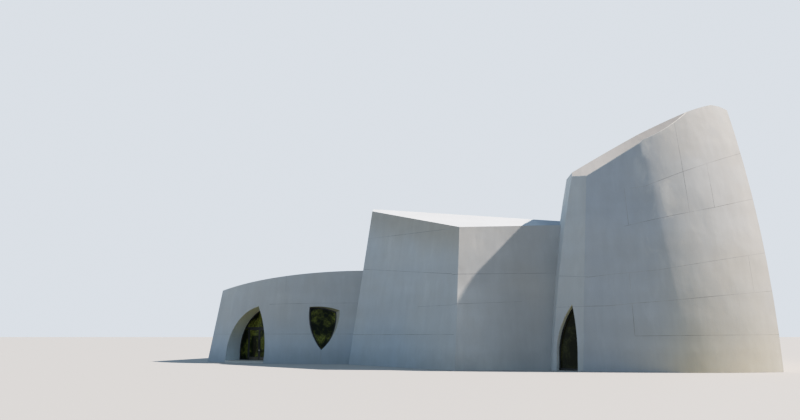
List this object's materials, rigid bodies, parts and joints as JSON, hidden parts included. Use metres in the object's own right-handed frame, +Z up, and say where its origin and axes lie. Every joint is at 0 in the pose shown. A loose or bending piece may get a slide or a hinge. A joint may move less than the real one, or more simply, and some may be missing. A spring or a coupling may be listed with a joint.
{
  "type": "church building",
  "caption": "Modern church of three leaning, prow-shaped and curved pale concrete masses, with a pointed-arch porch, glazed entrance doors, a shield-shaped window and lancet windows.",
  "frame": {"origin": "on the ground, at the middle of the building's overall length and depth", "axes": "+X along the street front to the right, +Y from the street into the building, +Z up"},
  "size_m": [32.9264, 21.3856, 14.0379],
  "materials": {
    "concrete": "pale grey fair-faced concrete, faint joints, matt",
    "roof_skin": "near-white smooth roof skin, matt",
    "floor_paving": "honed grey floor, matt",
    "dark_bronze": "dark bronze anodised frames, satin",
    "glass": "dark tinted reflective glass"
  },
  "bodies": {
    "building": {"wing_front_wall_left": "concrete", "wing_arch_wall_left": "concrete", "wing_arch_wall_right": "concrete", "wing_front_wall_right": "concrete", "wing_end_wall": "concrete", "wing_back_wall": "concrete", "wing_roof": "roof_skin", "wing_floor": "floor_paving", "porch_lining_left": "concrete", "porch_lining_right": "concrete", "porch_floor": "floor_paving", "entrance_glass_over": "glass", "entrance_glass_left": "glass", "entrance_glass_right": "glass", "entrance_frame": "dark_bronze", "shield_window_frame": "dark_bronze", "shield_window_glass": "glass", "hall_front_left_wall": "concrete", "hall_front_right_wall": "concrete", "hall_back_right_wall": "concrete", "hall_back_left_wall": "concrete", "hall_left_wall_back": "concrete", "hall_left_wall_over": "concrete", "hall_left_wall_front": "concrete", "hall_roof": "roof_skin", "hall_floor": "floor_paving", "sanctuary_fold_wall_left": "concrete", "sanctuary_fold_wall_right": "concrete", "lancet_window_frame": "dark_bronze", "lancet_window_glass": "glass", "rear_lancet_window_frame": "dark_bronze", "rear_lancet_window_glass": "glass", "sanctuary_front_wall": "concrete", "sanctuary_sail_wall_left": "concrete", "sanctuary_sail_wall_right": "concrete", "sanctuary_side_wall_front": "concrete", "sanctuary_side_wall_back": "concrete", "sanctuary_back_wall_right": "concrete", "sanctuary_back_wall_left": "concrete", "sanctuary_return_wall": "concrete", "sanctuary_left_wall_back": "concrete", "sanctuary_left_wall_over": "concrete", "sanctuary_left_wall_front": "concrete", "sanctuary_roof": "roof_skin", "sanctuary_floor": "floor_paving"},
    "entrance_door_left": {"entrance_door_left": "dark_bronze", "entrance_door_left_glass": "glass"},
    "entrance_door_right": {"entrance_door_right": "dark_bronze", "entrance_door_right_glass": "glass"}
  },
  "joints": [
    {"name": "entrance_door_left_hinge", "type": "hinge", "parent": "building", "child": "entrance_door_left", "pos_m": [-13.64035, 0.89794, 0.128], "axis": [0, 0, -1], "range_deg": [0, 90]},
    {"name": "entrance_door_right_hinge", "type": "hinge", "parent": "building", "child": "entrance_door_right", "pos_m": [-12.025, 0.02948, 0.128], "axis": [0, 0, 1], "range_deg": [0, 90]}
  ]
}
